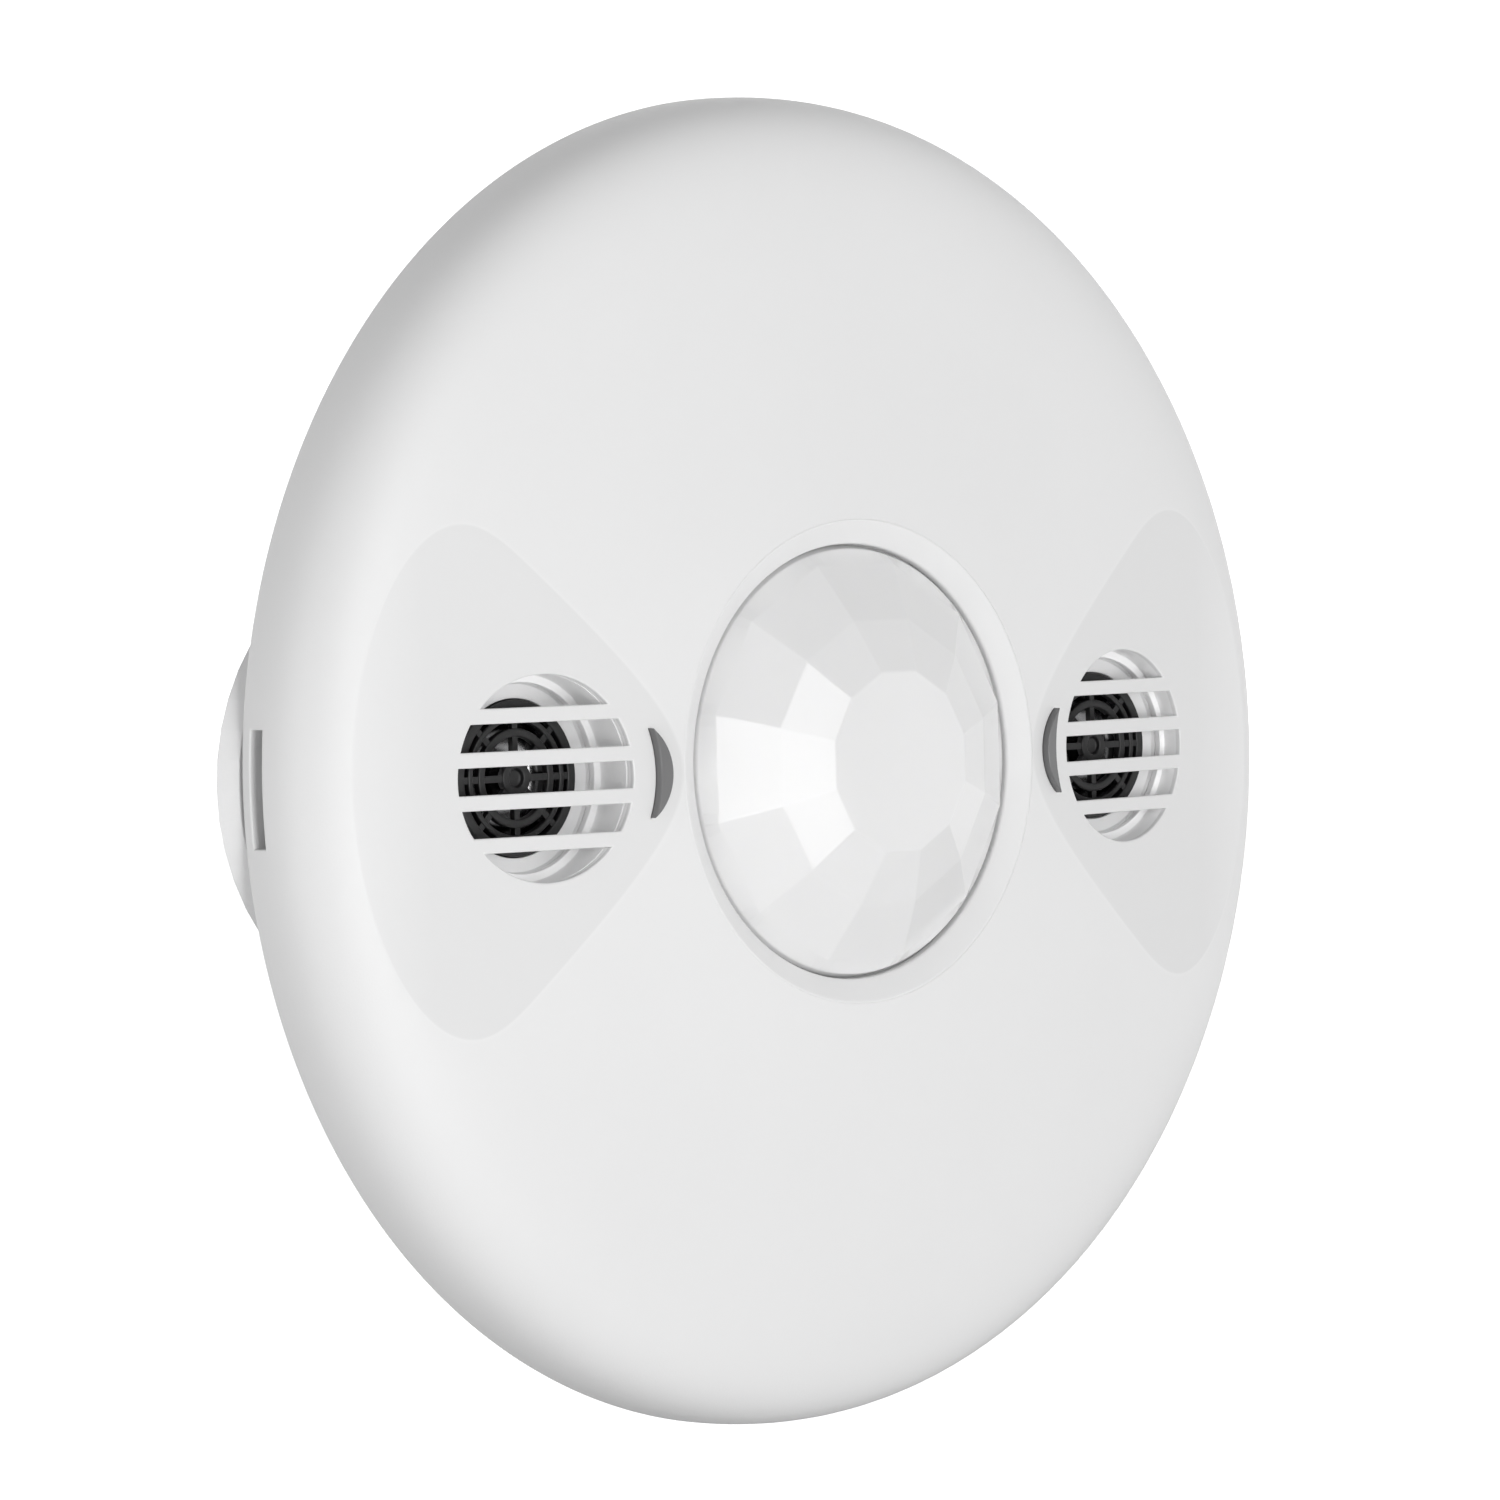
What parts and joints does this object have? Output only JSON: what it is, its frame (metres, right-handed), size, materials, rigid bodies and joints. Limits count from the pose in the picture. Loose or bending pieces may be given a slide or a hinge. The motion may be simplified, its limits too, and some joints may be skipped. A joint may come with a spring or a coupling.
{
  "type": "motion sensor",
  "caption": "Round ceiling occupancy sensor: faceted infrared lens between two barred ultrasonic grilles on a domed cover that pulls off a base made to fit a ceiling box.",
  "frame": {"origin": "on the sensor's axis, in the plane of the ceiling that the base's flange rests against", "axes": "+Y along the sensor's axis into the ceiling box, -Y towards the room, +X through the right-hand transducer, +Z the other direction across the cover"},
  "size_m": [0.1166, 0.0324, 0.1142],
  "materials": {
    "white_plastic": "moulded white ABS with a fine semi-gloss texture",
    "lens_plastic": "translucent white polyethylene, smooth facets",
    "smoked_plastic": "smoked translucent acrylic",
    "led_resin": "clear water-white resin",
    "black_plastic": "moulded black, satin",
    "dark_metal": "dark coated metal",
    "bright_metal": "plated, bright",
    "circuit_board": "green solder mask over glass fibre",
    "blue_plastic": "moulded blue",
    "ivory_plastic": "moulded off-white",
    "red_plastic": "moulded red",
    "relay_plastic": "moulded blue case",
    "green_plastic": "moulded green"
  },
  "bodies": {
    "base": {"amplifier_chip": "black_plastic", "board_screw_1": "bright_metal", "board_screw_2": "bright_metal", "board_screw_3": "bright_metal", "board_screw_4": "bright_metal", "control_chip": "black_plastic", "dip_switch_housing": "red_plastic", "filter_capacitor_1": "black_plastic", "filter_capacitor_2": "black_plastic", "indicator_led_left": "led_resin", "indicator_led_right": "led_resin", "light_detector": "red_plastic", "light_level_trimpot": "blue_plastic", "main_board": "circuit_board", "mounting_base": "white_plastic", "mounting_screw_bottom": "bright_metal", "mounting_screw_top": "bright_metal", "pir_detector_can": "bright_metal", "pir_detector_spacer": "ivory_plastic", "pir_detector_window": "dark_metal", "pir_sensitivity_trimpot": "blue_plastic", "relay": "relay_plastic", "terminal_block": "green_plastic", "terminal_screw_1": "bright_metal", "terminal_screw_2": "bright_metal", "terminal_screw_3": "bright_metal", "terminal_screw_4": "bright_metal", "time_delay_trimpot": "blue_plastic", "transducer_can_left": "dark_metal", "transducer_can_right": "dark_metal", "transducer_cone_left": "bright_metal", "transducer_cone_right": "bright_metal", "transducer_grille_left": "black_plastic", "transducer_grille_right": "black_plastic", "transducer_holder_left": "white_plastic", "transducer_holder_right": "white_plastic", "transducer_pin_base_left": "black_plastic", "transducer_pin_base_right": "black_plastic", "ultrasonic_sensitivity_trimpot": "blue_plastic"},
    "cover": {"front_cover": "white_plastic", "pir_lens": "lens_plastic", "lens_retainer": "white_plastic", "indicator_window_left": "smoked_plastic", "indicator_window_right": "smoked_plastic"},
    "snap_latch_left": {"snap_latch_left": "white_plastic"},
    "snap_latch_right": {"snap_latch_right": "white_plastic"},
    "light_level_rotor": {"light_level_rotor": "ivory_plastic"},
    "pir_sensitivity_rotor": {"pir_sensitivity_rotor": "ivory_plastic"},
    "time_delay_rotor": {"time_delay_rotor": "ivory_plastic"},
    "ultrasonic_sensitivity_rotor": {"ultrasonic_sensitivity_rotor": "ivory_plastic"},
    "dip_slider_1": {"dip_slider_1": "ivory_plastic"},
    "dip_slider_2": {"dip_slider_2": "ivory_plastic"},
    "dip_slider_3": {"dip_slider_3": "ivory_plastic"},
    "dip_slider_4": {"dip_slider_4": "ivory_plastic"}
  },
  "joints": [
    {"name": "cover_pull", "type": "slide", "parent": "base", "child": "cover", "axis": [0, -1, 0], "range_m": [0, 0.03]},
    {"name": "snap_latch_left_flex", "type": "hinge", "parent": "base", "child": "snap_latch_left", "pos_m": [-0.0509, -0.0034, 0.0155], "axis": [0, -1, 0], "range_deg": [0, 3], "stiffness_Nm_per_rad": 0.01},
    {"name": "snap_latch_right_flex", "type": "hinge", "parent": "base", "child": "snap_latch_right", "pos_m": [0.0509, -0.0034, -0.0155], "axis": [0, -1, 0], "range_deg": [0, 3], "stiffness_Nm_per_rad": 0.01},
    {"name": "time_delay_turn", "type": "hinge", "parent": "base", "child": "time_delay_rotor", "pos_m": [-0.0195, -0.0035, 0.025], "axis": [0, -1, 0], "range_deg": [-135, 135]},
    {"name": "pir_sensitivity_turn", "type": "hinge", "parent": "base", "child": "pir_sensitivity_rotor", "pos_m": [-0.0065, -0.0035, 0.025], "axis": [0, -1, 0], "range_deg": [-135, 135]},
    {"name": "ultrasonic_sensitivity_turn", "type": "hinge", "parent": "base", "child": "ultrasonic_sensitivity_rotor", "pos_m": [0.0065, -0.0035, 0.025], "axis": [0, -1, 0], "range_deg": [-135, 135]},
    {"name": "light_level_turn", "type": "hinge", "parent": "base", "child": "light_level_rotor", "pos_m": [0.0195, -0.0035, 0.025], "axis": [0, -1, 0], "range_deg": [-135, 135]},
    {"name": "dip_slide_1", "type": "slide", "parent": "base", "child": "dip_slider_1", "axis": [0, 0, 1], "range_m": [0, 0.0016]},
    {"name": "dip_slide_2", "type": "slide", "parent": "base", "child": "dip_slider_2", "axis": [0, 0, 1], "range_m": [0, 0.0016]},
    {"name": "dip_slide_3", "type": "slide", "parent": "base", "child": "dip_slider_3", "axis": [0, 0, 1], "range_m": [0, 0.0016]},
    {"name": "dip_slide_4", "type": "slide", "parent": "base", "child": "dip_slider_4", "axis": [0, 0, 1], "range_m": [0, 0.0016]}
  ]
}
